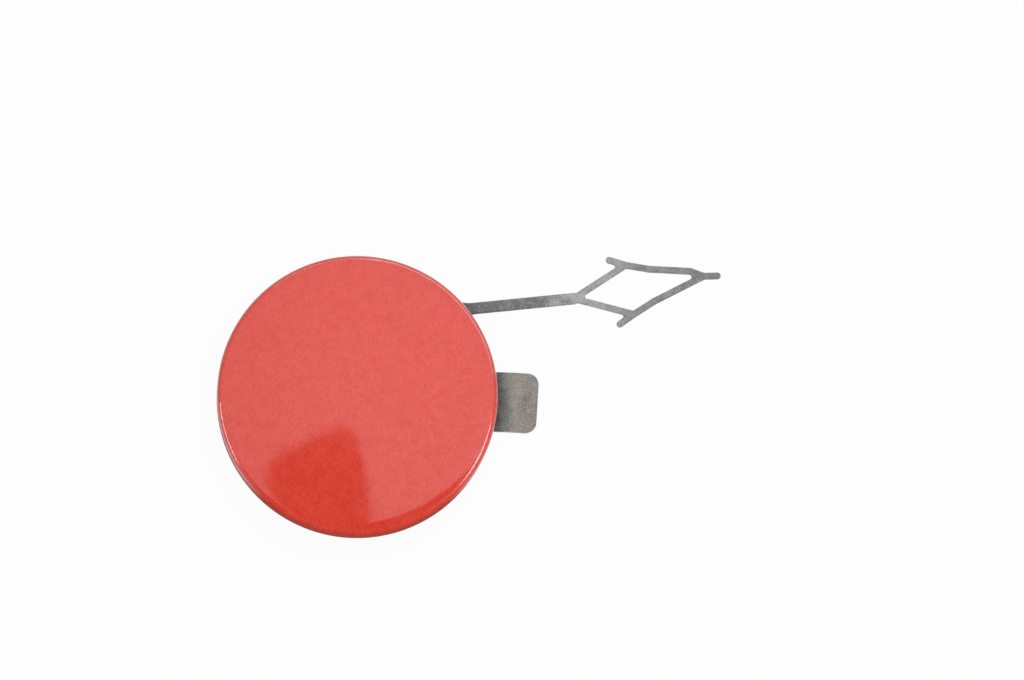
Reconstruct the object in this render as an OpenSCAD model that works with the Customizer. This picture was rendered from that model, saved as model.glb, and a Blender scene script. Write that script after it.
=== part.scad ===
// Tow eye cover: a round, slightly domed bumper cap moulded in one piece with
// its hooking tongue, two snap arms and a flat tether that ends in an open,
// diamond-shaped anchor.
// The cap lies face up. Z = 0 is the lower edge of the locating ring, on whose
// axis the origin sits. The tongue points along +X.

/* [Cap] */
// Diameter of the cap's outline
cap_d = 70; // [66:0.5:76]
// Depth of the rim, from the edge rounding down to its lower edge
rim_h = 8.5; // [7:0.5:11]
// Thickness of the rim
rim_wall = 2; // [1.4:0.1:2.6]
// Thickness of the face
face_wall = 2.2; // [1.8:0.1:2.8]
// Radius of the face's slight dome
crown_r = 460; // [300:10:900]
// Rounding between the face and the rim
edge_r = 1.5; // [1:0.1:2.5]
// Rounding of the inside corner below the face
inner_edge_r = 0.8; // [0.4:0.1:1.2]

/* [Locating ring] */
// Outside diameter of the ring that drops into the bumper's hole
ring_d = 54; // [50:0.5:56]
// Thickness of the ring
ring_wall = 1.6; // [1.2:0.1:2.2]
// How far the ring reaches below the rim
ring_drop = 7; // [6:0.5:8]
// Thickness of the bumper skin that the tongue and the snap arms grip
skin_t = 3; // [2.4:0.1:3.6]

/* [Snap arms] */
// Width of each snap arm, measured round the ring in degrees
arm_sweep = 24; // [16:1:30]
// Angle of each snap arm from the side opposite the tongue
arm_side = 30; // [24:1:40]
// Width of the slots that free the arms
arm_slot = 1.4; // [1:0.1:2]
// Length of the slots, up from the ring's lower edge
arm_slot_h = 11.5; // [9:0.5:12.5]
// How far the snap noses stand out from the ring
nose_out = 1.4; // [0.8:0.1:2]
// Height of the snap noses
nose_h = 3.2; // [2.4:0.1:3.6]

/* [Ribs] */
// Thickness of all ribs under the face
rib_t = 1.2; // [0.8:0.1:1.6]
// Depth of the ribs below the middle of the face
rib_h = 4; // [2.5:0.5:5]
// Number of short ribs between the ring and the rim
rim_ribs = 8; // [4:1:12]
// Number of long ribs across the inside of the ring
cross_ribs = 2; // [1:1:3]
// Direction of the first long rib, in degrees from the tongue
cross_rib_at = 45; // [30:5:60]

/* [Tongue] */
// Width of the tongue
tongue_w = 15; // [10:0.5:18]
// Thickness of the tongue
tongue_t = 1.8; // [1.4:0.1:2.2]
// How far the tongue's middle line passes the cap's axis, on the tether's side
tongue_side = 2; // [0:0.1:4]
// Distance from the cap's axis to the tongue's tip
tongue_reach = 45.4; // [44:0.2:50]
// Rounding of the tongue's two outer corners
tongue_corner_r = 2.7; // [1:0.1:4]
// Slope of the tongue's tip below level
tongue_fall = 10; // [4:1:12]
// Bend radius where the tongue rises from the ring
root_bend_r = 20; // [12:1:24]
// Bend radius of the crest that presses on the bumper skin
crest_bend_r = 16; // [10:1:18]

/* [Tether] */
// Width of the tether
tether_w = 2.9; // [2:0.1:4]
// Thickness of the tether and its anchor
tether_t = 1.3; // [1:0.1:1.8]
// Length of the tether from the rim to the fork of the anchor
tether_len = 27.9; // [20:0.1:45]
// Place of the tether's root round the rim, in degrees from the tongue
tether_at = 43.6; // [36:0.5:60]
// Direction of the tether, in degrees from the tongue
tether_dir = 9.4; // [0:0.2:20]
// Rounding of the flare on the outer side of the tether's root
flare_r = 8; // [3:0.5:9]
// Rounding on the inner side of the tether's root
root_r = 1.2; // [0.6:0.1:3]

/* [Anchor] */
// Direction of the anchor, in degrees from the tether
anchor_turn = 3.4; // [-6:0.2:8]
// Width of the anchor's limbs
limb_w = 1.7; // [1.4:0.1:2.2]
// Distance from the fork to the corners, along the anchor
corner_at = 14.3; // [12:0.1:16]
// Distance from the anchor's middle line to each corner
corner_out = 6.3; // [5:0.1:8]
// Length of the barbs that stand back from the corners
barb_len = 4.3; // [3:0.1:5.5]
// Angle between a barb and the anchor's middle line
barb_angle = 26; // [18:1:34]
// Distance from the fork to the slight bend in each long limb
bend_at = 19.9; // [18:0.1:23]
// How far the upper long limb is bent inwards there
upper_bend_in = 0.45; // [0:0.05:1]
// How far the lower long limb is bent inwards there
lower_bend_in = 0.45; // [0:0.05:1]
// Distance from the fork to the shoulder where the limbs close up
shoulder_at = 30.2; // [27:0.1:32]
// Distance from the anchor's middle line to the shoulder of the upper limb
shoulder_out = 2.2; // [1.6:0.1:3]
// Distance from the shoulder to the lead-in pin
shoulder_len = 3.1; // [2:0.1:5]
// Length of the lead-in pin
pin_len = 3.4; // [2:0.1:6]
// How far the pin starts off the middle line
pin_off = 0.45; // [0:0.05:0.8]
// Rounding of the inside corners where limbs meet
join_r = 0.5; // [0.2:0.1:0.8]

/* [Hidden] */
$fn = 96;

// Fine division of the dome's very large circle
CROWN_FN = 720;
// Fineness of the small roundings in the tether's plan outline
PLAN_FN = 40;
// How deep the roundings at the tether's root run into the rim
ROOT_BITE = 0.3;
// Number of flats that each bend of the tongue is drawn with
BEND_STEPS = 12;
// Overlap of a cut beyond the surface that it cuts
CUT = 1;

paint_red = [0.84, 0.22, 0.17];
plastic_grey = [0.42, 0.42, 0.41];

cap_r = cap_d / 2;
ring_r = ring_d / 2;
rim_z = ring_drop;
edge_z = rim_z + rim_h;
inner_r = cap_r - rim_wall;
// The dome's centre, from the edge rounding that it runs into tangentially
crown_z = edge_z - sqrt(pow(crown_r - edge_r, 2) - pow(cap_r - edge_r, 2));
inner_crown_r = crown_r - face_wall;
middle_crown_r = crown_r - face_wall / 2;
middle_z = crown_z + middle_crown_r;
grip_z = rim_z - skin_t;

// Height at which a domed shape's edge rounding starts
function edge_start_z(r, crown, edge) =
    crown_z + sqrt(pow(crown - edge, 2) - pow(r - edge, 2));

// A point at a distance and a direction from another
function step(from, length, angle) = from + length * [cos(angle), sin(angle)];

// The point at a given x on the straight line through two points
function along(from, to, x) = from + (x - from.x) / (to.x - from.x) * (to - from);

// Half section of a domed disc with a rounded edge, cut flat at its bottom
module domed_half(r, crown, edge, bottom) {
    side_z = edge_start_z(r, crown, edge);
    tangent_x = (r - edge) * crown / (crown - edge);
    intersection() {
        translate([0, crown_z]) circle(r = crown, $fn = CROWN_FN);
        translate([0, bottom]) square([tangent_x, crown]);
    }
    translate([r - edge, side_z]) circle(r = edge);
    translate([0, bottom]) square([r, side_z - bottom]);
}

// The cap's shell: domed face and turned-down rim
module shell() {
    color(paint_red)
    rotate_extrude()
    difference() {
        domed_half(cap_r, crown_r, edge_r, rim_z);
        domed_half(inner_r, inner_crown_r, inner_edge_r, rim_z - CUT);
    }
}

// All the space below the middle of the face and inside the rim, which trims
// whatever grows down from the face
module below_face() {
    rotate_extrude()
    domed_half(cap_r - rim_wall / 2, middle_crown_r, inner_edge_r, -CUT);
}

// The two slots beside a snap arm, at the arm's own angle
module arm_slots(at) {
    for (side = [-1, 1])
        rotate([0, 0, at + side * arm_sweep / 2])
        translate([ring_r - ring_wall - CUT, -arm_slot / 2, -CUT])
        cube([ring_wall + 2 * CUT, arm_slot, arm_slot_h + CUT]);
}

// The nose of a snap arm: a catch above and a long lead-in below
module arm_nose(at) {
    // The nose stops short of the arm's sides by half a slot's width
    nose_sweep = arm_sweep - 2 * arm_slot / ring_r * 180 / PI;
    lead_z = grip_z - nose_h;
    catch_drop = nose_out / 2;
    rotate([0, 0, at - nose_sweep / 2])
    rotate_extrude(angle = nose_sweep)
    polygon([
        [ring_r - ring_wall / 2, lead_z],
        [ring_r, lead_z],
        [ring_r + nose_out, grip_z - catch_drop - nose_out / 4],
        [ring_r + nose_out, grip_z - catch_drop],
        [ring_r, grip_z],
        [ring_r - ring_wall / 2, grip_z],
    ]);
}

// The locating ring with its two snap arms
module locating_ring() {
    color(plastic_grey) {
        difference() {
            intersection() {
                below_face();
                rotate_extrude()
                translate([ring_r - ring_wall, 0]) square([ring_wall, middle_z]);
            }
            for (side = [-1, 1]) arm_slots(180 + side * arm_side);
        }
        for (side = [-1, 1]) arm_nose(180 + side * arm_side);
    }
}

// Stiffening ribs under the face: short ones out to the rim, long ones across
module ribs() {
    long = 2 * (ring_r - ring_wall / 2);
    short_from = ring_r - ring_wall / 2;
    color(plastic_grey)
    intersection() {
        below_face();
        union() {
            for (i = [0 : rim_ribs - 1])
                rotate([0, 0, (i + 0.5) * 360 / rim_ribs])
                translate([short_from, -rib_t / 2, middle_z - rib_h])
                cube([cap_r - short_from, rib_t, rib_h]);
            for (i = [0 : cross_ribs - 1])
                rotate([0, 0, cross_rib_at + i * 180 / cross_ribs])
                translate([-long / 2, -rib_t / 2, middle_z - rib_h])
                cube([long, rib_t, rib_h]);
        }
    }
}

// Points [x, z, slope] along a bend that starts at a point and turns the slope
function bent(from, slope, turn, r) = [
    for (i = [0 : BEND_STEPS])
        let (a = slope + turn * i / BEND_STEPS, signed_r = sign(turn) * r)
        [
            from.x + signed_r * (sin(a) - sin(slope)),
            from.y - signed_r * (cos(a) - cos(slope)),
            a,
        ],
];

// A point set off square to the path that a [x, z, slope] point lies on
function aside(p, off) = [p.x - off * sin(p[2]), p.y + off * cos(p[2])];

// Side view of the tongue: level, up, level over the crest and down to the tip
module tongue_section() {
    base_z = tongue_t / 2;
    crest_z = grip_z - tongue_t / 2;
    // The two bends share the whole rise, so their radii set the slope between
    rise = acos(1 - (crest_z - base_z) / (root_bend_r + crest_bend_r));
    start = [ring_r - ring_wall / 2, base_z, 0];
    root = bent([ring_r + tongue_t, base_z], 0, rise, root_bend_r);
    crest = bent(root[BEND_STEPS], rise, -rise - tongue_fall, crest_bend_r);
    crest_end = crest[BEND_STEPS];
    // The straight fall runs on well past the tip, where the plan outline trims it
    run_out = [
        crest_end.x + tongue_reach * cos(tongue_fall),
        crest_end.y - tongue_reach * sin(tongue_fall),
        -tongue_fall,
    ];
    path = concat([start], root, [for (i = [1 : BEND_STEPS]) crest[i]], [run_out]);
    last = len(path) - 1;
    polygon(concat(
        [for (i = [0 : last]) aside(path[i], tongue_t / 2)],
        [for (i = [last : -1 : 0]) aside(path[i], -tongue_t / 2)]
    ));
}

// Plan outline of the tongue, with its two rounded corners
module tongue_plan() {
    corner_x = tongue_reach - tongue_corner_r;
    corner_y = tongue_w / 2 - tongue_corner_r;
    translate([0, -tongue_w / 2]) square([corner_x, tongue_w]);
    translate([0, -corner_y]) square([tongue_reach, 2 * corner_y]);
    for (side = [-1, 1])
        translate([corner_x, side * corner_y]) circle(r = tongue_corner_r);
}

// The tongue that hooks behind the bumper skin
module tongue() {
    color(plastic_grey)
    intersection() {
        rotate([90, 0, 0])
        linear_extrude(height = 2 * tongue_w + 2 * tongue_side, center = true)
        tongue_section();
        linear_extrude(height = rim_z)
        translate([0, tongue_side])
        tongue_plan();
    }
}

// A straight stroke between two points, with round ends
module stroke(from, to, width) {
    run = to - from;
    translate(from) {
        circle(d = width, $fn = PLAN_FN);
        rotate(atan2(run.y, run.x))
        translate([0, -width / 2])
        square([norm(run), width]);
    }
    translate(to) circle(d = width, $fn = PLAN_FN);
}

// A chain of strokes through a list of points
module strokes(points, width) {
    for (i = [0 : len(points) - 2]) stroke(points[i], points[i + 1], width);
}

// Plan outline of the open anchor: fork at the origin, pin along +X
module anchor_plan() {
    pin_start = [shoulder_at + shoulder_len, pin_off];
    pin_end = [pin_start.x + pin_len, 0];
    shoulder = [shoulder_at, shoulder_out];
    upper_corner = [corner_at, corner_out];
    lower_corner = [corner_at, -corner_out];
    upper_bend = along(upper_corner, shoulder, bend_at) - [0, upper_bend_in];
    lower_bend = along(lower_corner, pin_start, bend_at) + [0, lower_bend_in];
    strokes([
        [0, 0],
        upper_corner,
        step(upper_corner, barb_len, 180 - barb_angle),
    ], limb_w);
    strokes([
        [0, 0],
        lower_corner,
        step(lower_corner, barb_len, 180 + barb_angle),
    ], limb_w);
    strokes([upper_corner, upper_bend, shoulder, pin_start, pin_end], limb_w);
    strokes([lower_corner, lower_bend, pin_start], limb_w);
    polygon([shoulder, along(lower_bend, pin_start, shoulder_at), pin_start]);
}

// Plan outline of the rounding on one side of the tether's root: the corner
// between the rim and the tether's edge, less a circle that touches both
module root_rounding(side, r) {
    inside_r = cap_r - rim_wall / 2;
    middle_off = cap_r * sin(tether_at - tether_dir);
    edge_off = middle_off + side * tether_w / 2;
    centre_off = edge_off + side * r;
    reach = cap_r - ROOT_BITE + r;
    centre = [sqrt(pow(reach, 2) - pow(centre_off, 2)), centre_off];
    rotate(tether_dir)
    difference() {
        polygon([
            [centre.x, middle_off],
            centre,
            centre * inside_r / reach,
            [sqrt(pow(inside_r, 2) - pow(edge_off, 2)), middle_off],
        ]);
        translate(centre) circle(r = r);
    }
}

// The tether and its anchor: one flat strip at the rim's lower edge
module tether() {
    root = step([0, 0], cap_r, tether_at);
    inside = step(root, -rim_wall / 2, tether_dir);
    fork = step(root, tether_len, tether_dir);
    color(plastic_grey)
    translate([0, 0, rim_z])
    linear_extrude(height = tether_t)
    offset(r = -join_r, $fn = PLAN_FN)
    offset(delta = join_r) {
        stroke(inside, fork, tether_w);
        translate(fork) rotate(tether_dir + anchor_turn) anchor_plan();
        root_rounding(1, flare_r);
        root_rounding(-1, root_r);
    }
}

module tow_eye_cover() {
    shell();
    locating_ring();
    ribs();
    tongue();
    tether();
}

tow_eye_cover();
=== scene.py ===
"""Tow eye cover: painted cap, locating ring, tongue and tether, all one moulding."""
import math

import bmesh
import bpy
from mathutils import Matrix, Vector


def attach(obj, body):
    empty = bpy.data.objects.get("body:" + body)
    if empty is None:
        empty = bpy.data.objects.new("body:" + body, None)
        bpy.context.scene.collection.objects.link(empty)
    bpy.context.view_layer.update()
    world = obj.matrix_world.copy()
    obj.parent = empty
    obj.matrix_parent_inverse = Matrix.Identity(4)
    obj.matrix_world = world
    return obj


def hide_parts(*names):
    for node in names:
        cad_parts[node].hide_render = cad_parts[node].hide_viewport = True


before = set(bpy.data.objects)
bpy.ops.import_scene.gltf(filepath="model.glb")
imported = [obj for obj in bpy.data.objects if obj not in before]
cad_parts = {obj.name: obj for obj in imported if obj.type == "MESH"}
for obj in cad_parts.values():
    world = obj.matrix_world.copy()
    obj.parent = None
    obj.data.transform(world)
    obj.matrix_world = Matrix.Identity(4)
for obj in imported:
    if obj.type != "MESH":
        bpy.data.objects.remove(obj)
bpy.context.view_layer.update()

MM = 0.001

# The cap, in millimetres, with z = 0 at the ring's lower edge
CAP_R = 35.0
RIM_FOOT = 7.0
EDGE_Z = 15.5
EDGE_R = 1.5
EDGE_STEPS = 12
RIM_WALL = 2.0
FACE_WALL = 2.2
CROWN_R = 460.0
CROWN_Z = EDGE_Z - math.sqrt((CROWN_R - EDGE_R) ** 2 - (CAP_R - EDGE_R) ** 2)
FACE_RADII = (0, 1.5, 4, 7, 10, 13, 16, 19, 22, 25, 28, 31)
UNDERSIDE_RADII = (20, 14, 8, 3, 0)
RING_R = 27.0
RING_WALL = 1.6
TURNS = 200

# The snap arms: bearings in degrees, the slots beside them, the noses on them
ARMS = (150, 210)
ARM_HALF = 12
SLOT_W = 1.4
SLOT_H = 13.5
SLOT_TOP = 11.5
SLOT_PAST_WALL = 2.2
NOSE_OUT = 1.4
NOSE_SUNK = 0.8
NOSE_LOW = 0.8
NOSE_LIP = (2.95, 3.3)
NOSE_TOP = 4.0
NOSE_STEPS = 10

# The ribs: length, width and height
SHORT_RIB = (7.8, 1.2, 3.1)
SHORT_RIB_R = 30.3
SHORT_RIBS = 8
LONG_RIB = (51.6, 1.2, 3.5)
LONG_RIB_TURNS = (45, 135)
RIB_FOOT = 13.12
BLOCK_EASE = 0.25

# The tongue
SKIN_GAP = 3.0
TONGUE_SIDE = 2.0
TONGUE_W = 15.0
TONGUE_T = 1.8
TONGUE_TIP = 45.4
TONGUE_SUNK = 1.0
TONGUE_CORNER = 2.7
TONGUE_ROOT_R = 20.0
TONGUE_CREST_R = 16.0
TONGUE_FALL = math.radians(10)
TONGUE_EASE = 0.4
CUTS_ALONG = 44
CUTS_ACROSS = 12

# The tether's slab
SLAB_LOW = 7.0
SLAB_HIGH = 8.3
SLAB_EASE = 0.42
EASE_STEPS = 5
TETHER_DIR = math.radians(9.4)
TETHER_SUNK = 1.1
HAIR = 0.03
OUTLINE_START = (67.0, 26.9)

# Where the paint lies, in millimetres, and how squarely its faces look up or out
PAINT_TOP_Z = 16.5
PAINT_RIM_R = (34.55, 35.01)
PAINT_RIM_Z = 7.04
SQUARELY = 0.2
SMOOTH_BELOW = math.radians(32)


# Working by hand

def take(piece):
    """Select one piece alone, because an operator acts on all that is selected."""
    if bpy.context.object and bpy.context.object.mode != "OBJECT":
        bpy.ops.object.mode_set(mode="OBJECT")
    bpy.ops.object.select_all(action="DESELECT")
    piece.hide_set(False)
    piece.select_set(True)
    bpy.context.view_layer.objects.active = piece


def edit(piece, kind):
    """Open a piece in edit mode, to select by VERT, EDGE or FACE."""
    take(piece)
    bpy.ops.object.mode_set(mode="EDIT")
    bpy.ops.mesh.select_mode(type=kind)


def done():
    """Close edit mode."""
    bpy.ops.object.mode_set(mode="OBJECT")


def pick(piece, test, kind):
    """Select the verts, edges or faces of the piece in edit mode that pass the test."""
    bpy.ops.mesh.select_all(action="DESELECT")
    net = bmesh.from_edit_mesh(piece.data)
    for part in getattr(net, kind):
        if test(part):
            part.select_set(True)
    net.select_flush_mode()
    bmesh.update_edit_mesh(piece.data)


def face_outwards():
    """Turn every face of the piece in edit mode outwards."""
    bpy.ops.mesh.select_all(action="SELECT")
    bpy.ops.mesh.normals_make_consistent(inside=False)


def bisect(place, normal):
    """Cut the piece in edit mode along a plane; nothing is removed."""
    bpy.ops.mesh.select_all(action="SELECT")
    bpy.ops.mesh.bisect(plane_co=place, plane_no=normal)


def settle(piece):
    """Put the piece's place into its mesh."""
    take(piece)
    bpy.ops.object.transform_apply(location=True, rotation=True, scale=True)


def apply_all(piece):
    """Apply the piece's modifiers in their order."""
    take(piece)
    for modifier in list(piece.modifiers):
        bpy.ops.object.modifier_apply(modifier=modifier.name)


def cut_or_fuse(piece, tool, how):
    """Fuse a tool body into the piece, or cut it away, and drop the tool."""
    take(piece)
    joint = piece.modifiers.new("join", "BOOLEAN")
    joint.operation = how
    joint.solver = "EXACT"
    joint.object = tool
    bpy.ops.object.modifier_apply(modifier=joint.name)
    bpy.data.objects.remove(tool)


def block(name, size, place, turn):
    """A moulded block: a cube drawn to size, its edges eased, put in place and turned."""
    bpy.ops.mesh.primitive_cube_add(size=1, location=(0, 0, 0))
    piece = bpy.context.object
    piece.name = name
    edit(piece, "EDGE")
    bpy.ops.mesh.select_all(action="SELECT")
    bpy.ops.transform.resize(value=[s * MM for s in size])
    bpy.ops.mesh.bevel(offset=BLOCK_EASE * MM, segments=2, affect="EDGES")
    done()
    piece.matrix_world = (
        Matrix.Rotation(turn, 4, "Z") @ Matrix.Translation(Vector(place) * MM)
    )
    settle(piece)
    return piece


# The cap and its ring, turned from one section

def eased(corners):
    """Points of a section whose corners (r, z, easing, steps) are rounded."""
    points = []
    n = len(corners)
    for i, (x, z, easing, steps) in enumerate(corners):
        here = Vector((x, z))
        if not easing:
            points.append(here)
            continue
        back = Vector(corners[i - 1][:2]) - here
        ahead = Vector(corners[(i + 1) % n][:2]) - here
        back.normalize()
        ahead.normalize()
        half = back.angle(ahead) / 2
        centre = here + (back + ahead).normalized() * easing / math.sin(half)
        first = here + back * easing / math.tan(half) - centre
        last = here + ahead * easing / math.tan(half) - centre
        sweep = first.angle_signed(last)
        for k in range(steps + 1):
            spoke = first.copy()
            spoke.rotate(Matrix.Rotation(-sweep * k / steps, 2))
            points.append(centre + spoke)
    return points


def crown(r, wall=0.0):
    """Height of the domed face at a radius, or of the surface a wall below it."""
    return CROWN_Z + math.sqrt((CROWN_R - wall) ** 2 - r * r)


def cap_section():
    """The cap's section: out over the face, round the edge, down the rim and back in."""
    face = [(r, crown(r), 0, 0) for r in FACE_RADII]
    edge_in = CAP_R - EDGE_R
    start = math.pi / 2 - math.asin(edge_in / (CROWN_R - EDGE_R))
    edge = []
    for k in range(EDGE_STEPS + 1):
        a = start * (1 - k / EDGE_STEPS)
        edge.append((edge_in + EDGE_R * math.cos(a), EDGE_Z + EDGE_R * math.sin(a), 0, 0))
    inner = CAP_R - RIM_WALL
    ring_in = RING_R - RING_WALL
    under = [
        (CAP_R, RIM_FOOT + 0.9, 0, 0),
        (CAP_R, RIM_FOOT, 0.3, 4),
        (inner + 0.05, RIM_FOOT, 0.35, 4),
        (inner, crown(inner, FACE_WALL), 0.8, 5),
        (RING_R, crown(RING_R, FACE_WALL), 0.6, 4),
        (RING_R, 0.0, 0.35, 4),
        (ring_in, 0.0, 0.35, 4),
        (ring_in, crown(ring_in, FACE_WALL), 0.6, 4),
    ]
    below = [(r, crown(r, FACE_WALL), 0, 0) for r in UNDERSIDE_RADII]
    return eased(face + edge + under + below)


def turned(name, section, steps, sweep, start=0.0, closed=False):
    """A body spun from a section: one point is drawn out along it, then spun.

    The spin operator turns clockwise seen from above, so the sweep is given as its minus.
    """
    bpy.ops.mesh.primitive_plane_add(size=MM, location=(0, 0, 0))
    piece = bpy.context.object
    piece.name = name
    edit(piece, "VERT")
    bpy.ops.mesh.select_all(action="SELECT")
    bpy.ops.mesh.merge(type="CENTER")
    spoke = Vector((math.cos(start), math.sin(start), 0))
    spots = [spoke * p.x * MM + Vector((0, 0, p.y * MM)) for p in section]
    bpy.ops.transform.translate(value=spots[0])
    for here, ahead in zip(spots, spots[1:]):
        bpy.ops.mesh.extrude_vertices_move(
            TRANSFORM_OT_translate={"value": ahead - here}
        )
    if closed:
        pick(piece, lambda v: len(v.link_edges) == 1, "verts")
        bpy.ops.mesh.edge_face_add()
    bpy.ops.mesh.select_all(action="SELECT")
    bpy.ops.mesh.spin(
        steps=steps, angle=-sweep, center=(0, 0, 0), axis=(0, 0, 1), use_auto_merge=False
    )
    bpy.ops.mesh.select_all(action="SELECT")
    bpy.ops.mesh.remove_doubles(threshold=1e-6)
    whole = abs(sweep) >= 2 * math.pi - 1e-6
    if not whole:
        bpy.ops.mesh.select_mode(type="EDGE")
        pick(piece, lambda e: e.is_boundary, "edges")
        bpy.ops.mesh.fill_holes(sides=0)
    face_outwards()
    done()
    return piece


def slots(cap):
    """Four slots free the two snap arms from the ring."""
    size = (RING_WALL + SLOT_PAST_WALL, SLOT_W, SLOT_H)
    place = (RING_R - RING_WALL / 2, 0, SLOT_TOP - SLOT_H / 2)
    for arm in ARMS:
        for side in (-ARM_HALF, ARM_HALF):
            cut = block("slot", size, place, math.radians(arm + side))
            cut_or_fuse(cap, cut, "DIFFERENCE")


def noses(cap):
    """A nose on each snap arm, with a long lead-in below and a steep catch above."""
    sweep = math.radians(2 * ARM_HALF) - 2 * SLOT_W / RING_R
    section = eased([
        (RING_R - NOSE_SUNK, NOSE_LOW, 0, 0),
        (RING_R, NOSE_LOW, 0, 0),
        (RING_R + NOSE_OUT, NOSE_LIP[0], 0.35, 3),
        (RING_R + NOSE_OUT, NOSE_LIP[1], 0.25, 3),
        (RING_R, NOSE_TOP, 0, 0),
        (RING_R - NOSE_SUNK, NOSE_TOP, 0, 0),
    ])
    for arm in ARMS:
        start = math.radians(arm) - sweep / 2
        nose = turned("nose", section, NOSE_STEPS, sweep, start, closed=True)
        cut_or_fuse(cap, nose, "UNION")


def ribs(cap):
    """Short ribs from ring to rim and two long ones across, all with eased edges."""
    short_place = (SHORT_RIB_R, 0, RIB_FOOT + SHORT_RIB[2] / 2)
    for i in range(SHORT_RIBS):
        turn = math.radians((i + 0.5) * 360 / SHORT_RIBS)
        cut_or_fuse(cap, block("rib", SHORT_RIB, short_place, turn), "UNION")
    long_place = (0, 0, RIB_FOOT + LONG_RIB[2] / 2)
    first, second = [
        block("rib", LONG_RIB, long_place, math.radians(turn)) for turn in LONG_RIB_TURNS
    ]
    cut_or_fuse(first, second, "UNION")
    cut_or_fuse(cap, first, "UNION")


# The tongue

def tongue_line():
    """The height of the tongue's middle line over x, from the ring to the tip."""
    base = TONGUE_T / 2
    top = RIM_FOOT - SKIN_GAP - TONGUE_T / 2
    rise = math.acos(1 - (top - base) / (TONGUE_ROOT_R + TONGUE_CREST_R))
    foot = RING_R + TONGUE_T
    join_x = foot + TONGUE_ROOT_R * math.sin(rise)
    crest_x = foot + (TONGUE_ROOT_R + TONGUE_CREST_R) * math.sin(rise)
    fall_x = crest_x + TONGUE_CREST_R * math.sin(TONGUE_FALL)
    fall_z = top - TONGUE_CREST_R * (1 - math.cos(TONGUE_FALL))

    def height(x):
        if x <= foot:
            return base
        if x <= join_x:
            return base + TONGUE_ROOT_R - math.sqrt(TONGUE_ROOT_R ** 2 - (x - foot) ** 2)
        if x <= fall_x:
            return top - TONGUE_CREST_R + math.sqrt(
                TONGUE_CREST_R ** 2 - (x - crest_x) ** 2
            )
        return fall_z - (x - fall_x) * math.tan(TONGUE_FALL)

    return height


def tongue():
    """A flat strip with rounded tip corners, bent over its crest, then thickened."""
    start = RING_R - TONGUE_SUNK
    length = TONGUE_TIP - start
    bpy.ops.mesh.primitive_plane_add(size=1, location=(0, 0, 0))
    piece = bpy.context.object
    piece.name = "tongue"
    edit(piece, "VERT")
    bpy.ops.mesh.select_all(action="SELECT")
    bpy.ops.transform.resize(value=(length * MM, TONGUE_W * MM, 1))
    bpy.ops.transform.translate(
        value=((start + length / 2) * MM, TONGUE_SIDE * MM, 0)
    )
    at_tip = (TONGUE_TIP - 0.1) * MM
    pick(piece, lambda v: v.co.x > at_tip, "verts")
    bpy.ops.mesh.bevel(offset=TONGUE_CORNER * MM, segments=10, affect="VERTICES")
    for k in range(1, CUTS_ALONG):
        x = (start + length * k / CUTS_ALONG) * MM
        bisect((x, 0, 0), (1, 0, 0))
    for k in range(1, CUTS_ACROSS):
        y = (TONGUE_SIDE - TONGUE_W / 2 + TONGUE_W * k / CUTS_ACROSS) * MM
        bisect((0, y, 0), (0, 1, 0))
    height = tongue_line()
    net = bmesh.from_edit_mesh(piece.data)
    for v in net.verts:
        v.co.z = height(v.co.x / MM) * MM
    bmesh.update_edit_mesh(piece.data)
    bpy.ops.mesh.select_all(action="SELECT")
    bpy.ops.mesh.remove_doubles(threshold=2e-5)
    face_outwards()
    done()
    wall = piece.modifiers.new("wall", "SOLIDIFY")
    wall.thickness = TONGUE_T * MM
    wall.offset = 0
    wall.use_even_offset = True
    ease = piece.modifiers.new("ease", "BEVEL")
    ease.width = TONGUE_EASE * MM
    ease.segments = 3
    ease.limit_method = "ANGLE"
    ease.angle_limit = math.radians(50)
    apply_all(piece)
    return piece


# The tether and its diamond anchor

def tether_outlines():
    """Plan outlines (outer one, then the diamond's inside) of the solid's own tether."""
    net = bmesh.new()
    net.from_mesh(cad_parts["tow_eye_cover"].data)
    bmesh.ops.remove_doubles(net, verts=net.verts, dist=2e-6)
    net.verts.index_update()

    def on_slab_top(face):
        middle = face.calc_center_median()
        return (
            all(abs(v.co.z - SLAB_HIGH * MM) < 1e-5 for v in face.verts)
            and all(v.co.xy.length > (CAP_R - 0.02) * MM for v in face.verts)
            and middle.xy.length > (CAP_R + 0.01) * MM
        )

    kept = {f for f in net.faces if on_slab_top(f)}
    ahead = {}
    for face in kept:
        for loop in face.loops:
            if not any(f in kept for f in loop.edge.link_faces if f is not face):
                ahead[loop.vert.index] = loop.link_loop_next.vert.index
    spots = {v.index: v.co.xy / MM for v in net.verts}
    outlines = []
    while ahead:
        here = next(iter(ahead))
        run = []
        while here in ahead:
            run.append(spots[here].copy())
            here = ahead.pop(here)
        # It starts nearest to a set place, because the order of a set of faces varies
        away = [(point - Vector(OUTLINE_START)).length for point in run]
        start = away.index(min(away))
        outlines.append(run[start:] + run[:start])
    net.free()
    return sorted(outlines, key=len, reverse=True)[:2]


def clean_run(run):
    """The outline without points that are closer together than a hair."""
    kept = [run[0]]
    for point in run[1:]:
        if (point - kept[-1]).length > HAIR:
            kept.append(point)
    return kept if (kept[0] - kept[-1]).length > HAIR else kept[:-1]


def drawn_in(run, by):
    """The outline moved by a distance to its left, which is the plastic's side."""
    moved = []
    n = len(run)
    for i, point in enumerate(run):
        one = (point - run[i - 1]).normalized()
        two = (run[(i + 1) % n] - point).normalized()
        left = Vector((-one.y - two.y, one.x + two.x))
        left.normalize()
        share = max(left.dot(Vector((-one.y, one.x))), 0.5)
        moved.append(point + left * by / share)
    return moved


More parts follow.
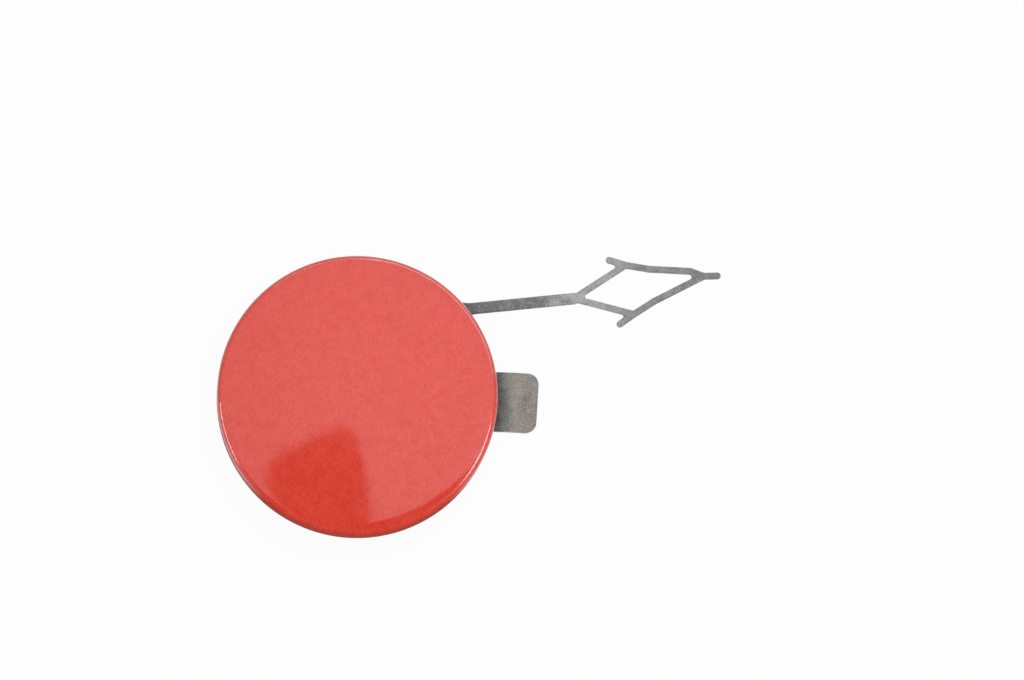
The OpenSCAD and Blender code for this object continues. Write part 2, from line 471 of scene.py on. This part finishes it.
def tether():
    """The flat tether, drawn from the solid's own outline, with its edges eased.

    Its root is drawn a little into the rim, so that the two fuse.
    """
    away = Vector((math.cos(TETHER_DIR), math.sin(TETHER_DIR)))
    bends = [math.radians(90 * k / EASE_STEPS) for k in range(EASE_STEPS + 1)]
    eases = [(1 - math.cos(a), 1 - math.sin(a)) for a in bends]
    levels = [(SLAB_LOW + SLAB_EASE * up, SLAB_EASE * by) for up, by in eases]
    levels += [(SLAB_HIGH - SLAB_EASE * up, SLAB_EASE * by) for up, by in reversed(eases)]
    net = bmesh.new()
    for run in tether_outlines():
        run = [
            p - away * TETHER_SUNK if p.length < CAP_R + 0.03 else p
            for p in clean_run(run)
        ]
        rings = []
        for z, by in levels:
            rings.append([
                net.verts.new((p.x * MM, p.y * MM, z * MM)) for p in drawn_in(run, by)
            ])
        for low, high in zip(rings, rings[1:]):
            for i in range(len(low)):
                j = (i + 1) % len(low)
                net.faces.new((low[i], low[j], high[j], high[i]))
    mesh = bpy.data.meshes.new("tether")
    net.to_mesh(mesh)
    net.free()
    piece = bpy.data.objects.new("tether", mesh)
    bpy.context.scene.collection.objects.link(piece)
    edit(piece, "EDGE")
    for z in (SLAB_LOW * MM, SLAB_HIGH * MM):
        pick(piece, lambda e: e.is_boundary and abs(e.verts[0].co.z - z) < 1e-6, "edges")
        bpy.ops.mesh.fill(use_beauty=True)
    face_outwards()
    done()
    return piece


# Nodes

def add(tree, kind, settings=None, **sockets):
    """A node with its settings and sockets; a socket that is given an output is linked.

    i0, i1 and so on stand for a socket's number, where its name won't do.
    """
    node = tree.nodes.new(kind)
    for key, value in (settings or {}).items():
        setattr(node, key, value)
    for key, value in sockets.items():
        socket = node.inputs[int(key[1:]) if key[1:].isdigit() else key]
        if isinstance(value, bpy.types.NodeSocket):
            tree.links.new(value, socket)
        else:
            socket.default_value = value
    return node


def maths(tree, how, a, b=0.0):
    return add(tree, "ShaderNodeMath", {"operation": how}, i0=a, i1=b).outputs[0]


def plus(tree, a, b):
    return maths(tree, "ADD", a, b)


def less(tree, a, b):
    return maths(tree, "SUBTRACT", a, b)


def times(tree, a, b):
    return maths(tree, "MULTIPLY", a, b)


def grain(tree, place, size_mm, detail=3.0, rough=0.55):
    """Soft noise, about 0.3 to 0.7, with features of a size in millimetres."""
    node = add(
        tree, "ShaderNodeTexNoise", {"noise_dimensions": "3D"},
        Vector=place, Scale=1000.0 / size_mm, Detail=detail, Roughness=rough,
    )
    return node.outputs["Fac"]


def ramp(tree, value, low, high, low_to=0.0, high_to=1.0):
    """A smooth step: low_to where the value is at low, high_to where it is at high."""
    node = add(
        tree, "ShaderNodeMapRange", {"interpolation_type": "SMOOTHSTEP"},
        i0=value, i1=low, i2=high, i3=low_to, i4=high_to,
    )
    return node.outputs[0]


def blend(tree, share, a, b):
    """Colour a where the share is 0, and b where it is 1."""
    node = add(tree, "ShaderNodeMix", {"data_type": "RGBA"}, i0=share, i6=a, i7=b)
    return node.outputs[2]


def bumps(tree, heights, distance):
    """A normal that stands for heights of 0 to 1, a distance in metres high."""
    node = add(tree, "ShaderNodeBump", Height=heights, Distance=distance, Strength=1.0)
    return node.outputs["Normal"]


def axes_of(tree, place):
    """The X, Y and Z of a place."""
    return add(tree, "ShaderNodeSeparateXYZ", Vector=place).outputs


def length_of(tree, way):
    node = add(tree, "ShaderNodeVectorMath", {"operation": "LENGTH"}, i0=way)
    return node.outputs["Value"]


def stretched(tree, place, shape):
    """The place with its axes scaled, so that a pattern on it runs along one of them."""
    node = add(tree, "ShaderNodeMapping", Vector=place, Scale=shape)
    return node.outputs["Vector"]


def from_the_axis(tree, place):
    """How far a place lies from the cap's axis."""
    return length_of(tree, stretched(tree, place, (1.0, 1.0, 0.0)))


def soft_spot(tree, place, middle_mm, radii_mm, soft=0.6):
    """How far a place lies inside a soft oval spot, from 0 outside to 1 in it."""
    node = add(
        tree, "ShaderNodeMapping", {"vector_type": "TEXTURE"}, Vector=place,
        Location=[m * MM for m in middle_mm], Scale=[r * MM for r in radii_mm],
    )
    away = length_of(tree, node.outputs["Vector"])
    return ramp(tree, away, 1 - soft, 1 + soft, 1.0, 0.0)


def object_place(tree):
    return add(tree, "ShaderNodeTexCoord").outputs["Object"]


def empty_sheet(name):
    """A material with nothing on its sheet but the output."""
    material = bpy.data.materials.new(name)
    material.use_nodes = True
    tree = material.node_tree
    tree.nodes.clear()
    return material, tree, tree.nodes.new("ShaderNodeOutputMaterial")


def skin_sheet(name):
    """A material with one surface shader, and the place that its patterns read."""
    material, tree, out = empty_sheet(name)
    skin = add(tree, "ShaderNodeBsdfPrincipled")
    tree.links.new(skin.outputs["BSDF"], out.inputs["Surface"])
    return material, tree, skin, object_place(tree)


# Finishes

RED = (0.732, 0.0755, 0.0510, 1)
RED_DEEP = (0.650, 0.0440, 0.0215, 1)
RED_DUST = (0.42, 0.06, 0.045, 1)
# Red of the rim's side near its foot: painted shade, with thinner paint
RED_THIN_SHADED = (0.335, 0.122, 0.117, 1)
BODY_GREY = (0.235, 0.232, 0.228, 1)
TONGUE_GREY = (0.280, 0.261, 0.213, 1)
TONGUE_ROOT = (0.246, 0.256, 0.228, 1)
TONGUE_BROWN = (0.150, 0.134, 0.100, 1)
STRAP_GREY = (0.117, 0.122, 0.134, 1)
FORK_GREY = (0.332, 0.326, 0.330, 1)
ANCHOR_GREY = (0.208, 0.204, 0.210, 1)
PLASTIC_DARK = (0.070, 0.066, 0.066, 1)
PLASTIC_PALE = (0.520, 0.510, 0.505, 1)

# Grains: feature size in millimetres, detail, roughness
CLOUD = (2.2, 4.0, 0.65)
SALT = (0.34, 2.0, 0.65)
DRAG_LINES = (0.42, 2.0, 0.5)
STAIN_EDGE = (0.9, 3.0, 0.6)
PAINT_FLECK = (0.42, 3.0, 0.7)
PAINT_CLOUD = (2.6, 3.0, 0.6)
PAINT_DRIFT = (14.0, 2.0, 0.5)
PAINT_EDGE = (1.3, 3.0)
PEEL_WIDE = (1.6, 1.0)
PEEL_FINE = (0.35, 1.0)
DUST_DOTS = (0.4, 3.0)
SHEEN_DRIFT = (1.1, 3.0)
MOULD_FINE = (0.5, 3.0)
MOULD_WIDE = (2.4, 2.0)

# The brown stain on the tongue, in millimetres
STAIN_AT = (42.1, 2.0, 3.5)
STAIN_R = (1.3, 2.4, 4.0)

# Where the bare plastic changes tone along +X, from and to, in metres
TONGUE_WARMS = (0.0370, 0.0405)
TIP_DARKENS = (0.0405, 0.0435)
FORK_PALES = (0.041, 0.0525)
ANCHOR_DARKENS = (0.060, 0.070)
PIN_DARKENS = (0.0805, 0.0845)

# The same across +Y, between tongue and tether, and outwards from the cap's axis
TETHER_SIDE = (0.0125, 0.0160)
PAST_THE_RIM = (0.0340, 0.0350)
# Painted shade in the corner beside the rim: where it starts, and where it fades out
RIM_SHADE_INSIDE = (0.0330, 0.0345)
RIM_SHADE_OUTSIDE = (0.0350, 0.0390)
DUST_INSIDE = (0.0345, 0.0350)
DUST_OUTSIDE = (0.0350, 0.0362)

# The same in height: overspray, the paint's lower edge, where the rim's side darkens (painted
# shade, with thinner paint), the clear coat
DUST_HEIGHT = (0.0060, 0.0075)
PAINT_STARTS = (0.00705, 0.0076)
THIN_SHADE_FADES = (0.0070, 0.0150)
COAT_STARTS = (0.01545, 0.0158)


def mottle(tree, place):
    """Colour of the bare plastic: warm on the tongue, bluish on the strap, pale on the fork,
    with painted shade where tongue and tether meet the rim.
    """
    axes = axes_of(tree, place)
    cloud = grain(tree, place, *CLOUD)
    drift = times(tree, less(tree, cloud, 0.5), 0.020)
    along = plus(tree, axes["X"], times(tree, drift, 0.5))
    tether_tone = blend(tree, ramp(tree, along, *FORK_PALES), STRAP_GREY, FORK_GREY)
    tether_tone = blend(tree, ramp(tree, along, *ANCHOR_DARKENS), tether_tone, ANCHOR_GREY)
    pin = ramp(tree, along, *PIN_DARKENS, 0.0, 0.26)
    tether_tone = blend(tree, pin, tether_tone, PLASTIC_DARK)

    tongue_tone = blend(tree, ramp(tree, along, *TONGUE_WARMS), TONGUE_ROOT, TONGUE_GREY)
    tip = ramp(tree, along, *TIP_DARKENS, 0.0, 0.36)
    tongue_tone = blend(tree, tip, tongue_tone, PLASTIC_DARK)
    stain = times(tree, soft_spot(tree, place, STAIN_AT, STAIN_R), 0.95)
    ragged = ramp(tree, grain(tree, place, *STAIN_EDGE), 0.34, 0.54)
    tongue_tone = blend(tree, times(tree, stain, ragged), tongue_tone, TONGUE_BROWN)

    beside = ramp(tree, axes["Y"], *TETHER_SIDE)
    colour = blend(tree, beside, tongue_tone, tether_tone)
    reach = from_the_axis(tree, place)
    colour = blend(tree, ramp(tree, reach, *PAST_THE_RIM), BODY_GREY, colour)

    salt = grain(tree, place, *SALT)
    dark = plus(tree, times(tree, cloud, 0.45), times(tree, salt, 0.55))
    colour = blend(tree, ramp(tree, dark, 0.50, 0.40, 0.0, 0.46), colour, PLASTIC_DARK)
    pale = plus(tree, times(tree, cloud, 0.35), times(tree, salt, 0.65))
    colour = blend(tree, ramp(tree, pale, 0.51, 0.62, 0.0, 0.36), colour, PLASTIC_PALE)
    lines = grain(tree, stretched(tree, place, (1.0, 0.14, 1.0)), *DRAG_LINES)
    streak = ramp(tree, lines, 0.52, 0.38, 0.0, 0.10)
    on_tongue = less(tree, 1.0, beside)
    colour = blend(tree, times(tree, streak, on_tongue), colour, PLASTIC_DARK)

    # Painted shade: the plastic darkens in the corner where tongue and tether meet the rim,
    # fading out a few millimetres away
    rim_shade = ramp(tree, plus(tree, reach, times(tree, drift, 0.26)), *RIM_SHADE_OUTSIDE, 0.78, 0.0)
    outside = ramp(tree, reach, *RIM_SHADE_INSIDE)
    return blend(tree, times(tree, rim_shade, outside), colour, PLASTIC_DARK)


def lacquer():
    """Glossy red paint with a clear coat, dusty at the rim's lower edge, and darker and greyer
    down the rim's side: painted shade there, with thinner paint.
    """
    material, tree, skin, place = skin_sheet("red_lacquer")
    fleck = plus(
        tree, times(tree, grain(tree, place, *PAINT_FLECK), 0.71),
        times(tree, grain(tree, place, *PAINT_CLOUD), 0.29),
    )
    red = blend(tree, ramp(tree, fleck, 0.40, 0.60), RED_DEEP, RED)
    flow = ramp(tree, grain(tree, place, *PAINT_DRIFT), 0.3, 0.7, 0.0, 0.16)
    red = blend(tree, flow, red, RED_DEEP)
    up = axes_of(tree, place)["Z"]
    ragged = times(tree, less(tree, grain(tree, place, *PAINT_EDGE), 0.5), 0.0006)
    height = plus(tree, up, ragged)
    # Painted shade: the red darkens and greys down the rim's side towards its foot, where the
    # paint is also thinner
    thin_shaded = ramp(tree, height, *THIN_SHADE_FADES, 0.95, 0.0)
    paint = blend(tree, thin_shaded, red, RED_THIN_SHADED)
    covered = ramp(tree, height, *PAINT_STARTS)
    colour = blend(tree, covered, mottle(tree, place), paint)
    tree.links.new(colour, skin.inputs["Base Color"])
    skin.inputs["Roughness"].default_value = 0.5
    skin.inputs["Specular IOR Level"].default_value = 0.0
    coat = ramp(tree, up, *COAT_STARTS, 0.10, 1.0)
    tree.links.new(coat, skin.inputs["Coat Weight"])
    skin.inputs["Coat Roughness"].default_value = 0.05
    skin.inputs["Coat IOR"].default_value = 1.5
    fine = times(tree, grain(tree, place, *PEEL_FINE), 0.25)
    peel = plus(tree, grain(tree, place, *PEEL_WIDE), fine)
    normal = bumps(tree, peel, 0.000004)
    tree.links.new(normal, skin.inputs["Normal"])
    tree.links.new(normal, skin.inputs["Coat Normal"])
    return material


def bare_moulding():
    """Unpainted grey plastic, mottled, with a little red overspray close to the rim."""
    material, tree, skin, place = skin_sheet("bare_grey_moulding")
    reach = from_the_axis(tree, place)
    near = times(
        tree, ramp(tree, reach, *DUST_OUTSIDE, 0.40, 0.0), ramp(tree, reach, *DUST_INSIDE)
    )
    high = ramp(tree, axes_of(tree, place)["Z"], *DUST_HEIGHT)
    dots = ramp(tree, grain(tree, place, *DUST_DOTS), 0.4, 0.6)
    dust = times(tree, times(tree, near, high), dots)
    colour = blend(tree, dust, mottle(tree, place), RED_DUST)
    tree.links.new(colour, skin.inputs["Base Color"])
    rough = ramp(tree, grain(tree, place, *SHEEN_DRIFT), 0.3, 0.7, 0.46, 0.64)
    tree.links.new(rough, skin.inputs["Roughness"])
    skin.inputs["Specular IOR Level"].default_value = 0.4
    wide = times(tree, grain(tree, place, *MOULD_WIDE), 0.8)
    heights = plus(tree, grain(tree, place, *MOULD_FINE), wide)
    tree.links.new(bumps(tree, heights, 0.00004), skin.inputs["Normal"])
    return material


# Put the moulding together

def painted(face):
    """Whether a face lies on the cap's painted side: its top, or its rim's outside."""
    c = face.center / MM
    spread = math.hypot(c.x, c.y)
    outward = (face.normal.x * c.x + face.normal.y * c.y) / max(spread, 1e-6)
    on_top = c.z > PAINT_TOP_Z and face.normal.z > SQUARELY
    at_rim = PAINT_RIM_R[0] < spread < PAINT_RIM_R[1] and c.z > PAINT_RIM_Z
    return on_top or (at_rim and outward > SQUARELY)


cover = turned("tow_eye_cover_moulding", cap_section(), TURNS, 2 * math.pi)
slots(cover)
noses(cover)
ribs(cover)
cut_or_fuse(cover, tongue(), "UNION")
cut_or_fuse(cover, tether(), "UNION")

cover.data.materials.clear()
cover.data.materials.append(lacquer())
cover.data.materials.append(bare_moulding())
for face in cover.data.polygons:
    face.material_index = 0 if painted(face) else 1
take(cover)
bpy.ops.object.shade_smooth_by_angle(angle=SMOOTH_BELOW)
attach(cover, "root")
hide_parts("tow_eye_cover")


# Floor, light and camera, in metres

WHITE = (1, 1, 1, 1)
ROLL = math.radians(3.5)

# The table: its own grey, its glow on the part, the white and the shadow in the picture
FLOOR_SIDE = 6
TABLE_GREY = (0.25, 0.25, 0.25, 1)
TABLE_GLOW = 0.33
PICTURE_WHITE = 0.95
SHADOW_GREY = (0.90, 0.90, 0.90, 1)
TABLE_MIRRORED = 1.8

# Ramps of the surroundings: over height or towards the foot, then the levels there
FLAG_EDGE = (0.10, 0.50, 0.06, 1.0)
FLAG_SLOPE = 0.7
SKY_LIGHT = (0.1, 0.95, 0.08, 0.43)
FOOT_LIGHT = (0.25, 0.95, 0.0, 1.15)
WALLS_MIRRORED = (0.0, 0.6, 1.0, 1.25)
BACKGROUND_WHITE = 0.99

# The overhead card aims a hair off straight down, which settles how it is turned
CARD_Z = 0.52
OVERHEAD_AT = (0.16, 0.235, CARD_Z)
OVERHEAD_AIM = (0.16, 0.2351, 0)
OVERHEAD_SIZE = (0.80, 0.65)
OVERHEAD_LEVEL = 1.74
OVERHEAD_TINT = (0.97, 0.935, 1.0, 1)

# The dark notch in it: a round part in millimetres, and a foot with leaning sides
NOTCH_AT = (-16.0, -20.0)
NOTCH_R = (46.0, 50.0)
NOTCH_FOOT = (-0.014, -0.034)
NOTCH_LEFT = (-0.080, -0.056)
NOTCH_RIGHT = (0.036, 0.024)
RIGHT_LEAN = 0.27
NOTCH_RIGHT_LEANING = (0.0222, 0.0162)
TOP_LEAN = 0.52
NOTCH_TOP_LEANING = (0.037, 0.018)
CARD_LEAN = 0.5
CARD_FOOT = (-0.0885, -0.0820)
CARD_DIMS = (-0.12, 0.02, 0.88, 1.0)

# The glint at the right: a core and a dim halo round it
GLINT_CORE = 0.066
GLINT_HALO = 0.10
GLINT_SHARE = 0.13


def glow(tree, strength, colour=WHITE):
    return add(tree, "ShaderNodeEmission", Color=colour, Strength=strength)


def either(tree, share, first, second):
    """The first shader where the share is 0, the second where it is 1."""
    return add(
        tree, "ShaderNodeMixShader",
        Fac=share, i1=first.outputs[0], i2=second.outputs[0],
    )


def together(tree, first, second):
    """Two shaders added up."""
    return add(tree, "ShaderNodeAddShader", i0=first.outputs[0], i1=second.outputs[0])


def off_the_flag(tree, way):
    """Share of light from a direction, and how far it points to the picture's foot.

    Hardly any light comes from the foot, where a dark flag stands.
    """
    spread = []
    for axis in ((math.cos(ROLL), math.sin(ROLL), 0), (math.sin(ROLL), -math.cos(ROLL), 0)):
        dot = add(tree, "ShaderNodeVectorMath", {"operation": "DOT_PRODUCT"}, i0=way, i1=axis)
        spread.append(dot.outputs["Value"])
    aside = maths(tree, "ABSOLUTE", spread[0])
    off = less(tree, aside, times(tree, spread[1], FLAG_SLOPE))
    return ramp(tree, off, *FLAG_EDGE), spread[1]


def floor():
    """A lit white table that keeps the shadow; the camera sees through it from below."""
    bpy.ops.mesh.primitive_plane_add(size=FLOOR_SIDE, location=(0, 0, 0))
    sweep = bpy.context.object
    sweep.name = "studio_floor"
    material, tree, out = empty_sheet("white_floor")
    seen = add(tree, "ShaderNodeLightPath").outputs
    white = add(tree, "ShaderNodeBsdfDiffuse", Color=TABLE_GREY)
    table = together(
        tree, white, glow(tree, times(tree, seen["Is Diffuse Ray"], TABLE_GLOW))
    )
    shaded = add(tree, "ShaderNodeBsdfDiffuse", Color=SHADOW_GREY)
    picture = either(tree, PICTURE_WHITE, shaded, glow(tree, 1.0))
    surface = either(tree, seen["Is Camera Ray"], table, picture)
    way = add(
        tree, "ShaderNodeVectorMath", {"operation": "NORMALIZE"}, i0=object_place(tree)
    )
    open_share, _ = off_the_flag(tree, way.outputs["Vector"])
    mirrored = glow(tree, times(tree, open_share, TABLE_MIRRORED))
    surface = either(tree, seen["Is Glossy Ray"], surface, mirrored)
    below = add(tree, "ShaderNodeNewGeometry").outputs["Backfacing"]
    clear = add(tree, "ShaderNodeBsdfTransparent")
    from_below = times(tree, below, seen["Is Camera Ray"])
    surface = either(tree, from_below, surface, clear)
    tree.links.new(surface.outputs[0], out.inputs["Surface"])
    sweep.data.materials.append(material)


def soft_world():
    """Soft light from above and from the picture's foot, with pale walls to reflect."""
    world = bpy.data.worlds.new("soft_studio")
    bpy.context.scene.world = world
    world.use_nodes = True
    tree = world.node_tree
    tree.nodes.clear()
    out = tree.nodes.new("ShaderNodeOutputWorld")
    ray = add(tree, "ShaderNodeTexCoord").outputs["Generated"]
    height = axes_of(tree, ray)["Z"]
    open_share, to_foot = off_the_flag(tree, ray)
    seen = add(tree, "ShaderNodeLightPath").outputs
    light = plus(tree, ramp(tree, height, *SKY_LIGHT), ramp(tree, to_foot, *FOOT_LIGHT))
    gloss = times(tree, open_share, ramp(tree, height, *WALLS_MIRRORED))
    level = add(tree, "ShaderNodeMix", i0=seen["Is Glossy Ray"], i2=light, i3=gloss)
    sky = add(tree, "ShaderNodeBackground", Color=WHITE, Strength=level.outputs[0])
    clear = add(tree, "ShaderNodeBackground", Color=WHITE, Strength=BACKGROUND_WHITE)
    mix = either(tree, seen["Is Camera Ray"], sky, clear)
    tree.links.new(mix.outputs[0], out.inputs["Surface"])


def towards(bearing, height, distance):
    """A place seen from the cap at a bearing in the picture and a height, in degrees."""
    a = math.radians(bearing) + ROLL
    e = math.radians(height)
    return (
        distance * math.cos(e) * math.cos(a),
        distance * math.cos(e) * math.sin(a),
        distance * math.sin(e),
    )


def card(name, middle, size, aim=(0, 0, 0.01)):
    """A studio card that only lights: the camera doesn't see it."""
    bpy.ops.mesh.primitive_plane_add(size=1, location=(0, 0, 0))
    piece = bpy.context.object
    piece.name = name
    piece.scale = (size[0], size[1], 1)
    ray = Vector(aim) - Vector(middle)
    piece.rotation_euler = ray.to_track_quat("-Z", "Y").to_euler()
    piece.location = middle
    settle(piece)
    piece.visible_camera = False
    return piece


def glowing(piece, level, pattern=None, colour=WHITE, clear=False):
    """Make a card glow at a level, which a pattern may change; a clear one hides nothing."""
    material, tree, out = empty_sheet(piece.name)
    strength = times(tree, pattern(tree), level) if pattern else level
    lamp = glow(tree, strength, colour)
    if clear:
        lamp = together(tree, add(tree, "ShaderNodeBsdfTransparent"), lamp)
    tree.links.new(lamp.outputs[0], out.inputs["Surface"])
    piece.data.materials.append(material)
    return piece


def overhead_pattern(tree):
    """Where the overhead card glows: all but a dark notch, and a little less to the left."""
    place = object_place(tree)
    axes = axes_of(tree, place)
    x, y = axes["X"], axes["Y"]
    round_part = soft_spot(tree, place, (*NOTCH_AT, CARD_Z / MM), (*NOTCH_R, 100), 0.16)
    sides = times(tree, ramp(tree, x, *NOTCH_LEFT), ramp(tree, x, *NOTCH_RIGHT))
    foot_part = times(tree, ramp(tree, y, *NOTCH_FOOT), sides)
    right = ramp(tree, plus(tree, x, times(tree, y, RIGHT_LEAN)), *NOTCH_RIGHT_LEANING)
    top = ramp(tree, less(tree, y, times(tree, x, TOP_LEAN)), *NOTCH_TOP_LEANING)
    notch = maths(tree, "MAXIMUM", round_part, foot_part)
    dark = times(tree, notch, times(tree, right, top))
    foot = ramp(tree, less(tree, y, times(tree, x, CARD_LEAN)), *CARD_FOOT)
    dimmer = ramp(tree, x, *CARD_DIMS)
    return times(tree, times(tree, less(tree, 1.0, dark), foot), dimmer)


def glint_pattern(tree):
    """A bright core with a dim soft halo round the right glint card's middle."""
    place = object_place(tree)
    at = [m / MM for m in GLINT_AT]
    core = soft_spot(tree, place, at, [GLINT_CORE / MM] * 3, 0.3)
    halo = soft_spot(tree, place, at, [GLINT_HALO / MM] * 3, 0.9)
    return maths(tree, "MAXIMUM", core, times(tree, halo, GLINT_SHARE))


# The cards that only gloss mirrors: name, place, size, level, pattern
GLINT_AT = towards(-15, 58, 0.47)
MIRRORED_CARDS = (
    ("window_card", towards(52, 40, 0.75), (0.80, 0.38), 5.6, None),
    ("far_wall_card", towards(97, 38, 0.75), (0.50, 0.36), 2.4, None),
    ("left_glint_card", towards(191, 33, 0.8), (0.34, 0.24), 10.5, None),
    ("right_glint_card", GLINT_AT, (0.52, 0.52), 17.0, glint_pattern),
)

floor()
soft_world()
overhead = card("overhead_card", OVERHEAD_AT, OVERHEAD_SIZE, OVERHEAD_AIM)
glowing(overhead, OVERHEAD_LEVEL, overhead_pattern, OVERHEAD_TINT)
for name, middle, size, level, pattern in MIRRORED_CARDS:
    glowing(card(name, middle, size), level, pattern, clear=True).visible_diffuse = False

# A small card close over the upper right of the face, which lights it and isn't mirrored
near = glowing(card("near_card", towards(33, 82, 0.157), (0.08, 0.08)), 3.0, clear=True)
near.visible_glossy = False

# The camera stands over the face, a little low and to the left in the picture
CAMERA_AWAY = 1.5
TILT = math.radians(6.47)
BEARING = math.radians(254.1) + ROLL
FACE_Z = 17 * MM
SENSOR = 36
PICTURE_W = 1024
PIXEL_F = 6030.4
PIXELS_RIGHT = 154.2
PIXELS_UP = 54.57


def squared(back, up):
    """Right, up and back at right angles to each other, from a back and a rough up."""
    up = (up - back * up.dot(back)).normalized()
    return up.cross(back), up, back


right, up, back = squared(
    Vector((
        math.sin(TILT) * math.cos(BEARING),
        math.sin(TILT) * math.sin(BEARING),
        math.cos(TILT),
    )),
    Vector((-math.sin(ROLL), math.cos(ROLL), 0)),
)
look_from = Vector((0, 0, FACE_Z)) + back * CAMERA_AWAY
aside = right * (PIXELS_RIGHT / PIXEL_F) + up * (PIXELS_UP / PIXEL_F)
right, up, back = squared((back - aside).normalized(), up)
lens = bpy.data.cameras.new("camera")
lens.sensor_width = SENSOR
lens.lens = PIXEL_F * SENSOR / PICTURE_W
lens.clip_end = 20
camera = bpy.data.objects.new("camera", lens)
bpy.context.scene.collection.objects.link(camera)
camera.matrix_world = Matrix.Translation(look_from) @ Matrix(
    (right, up, back)
).transposed().to_4x4()
bpy.context.scene.camera = camera
bpy.context.scene.view_settings.view_transform = "Standard"
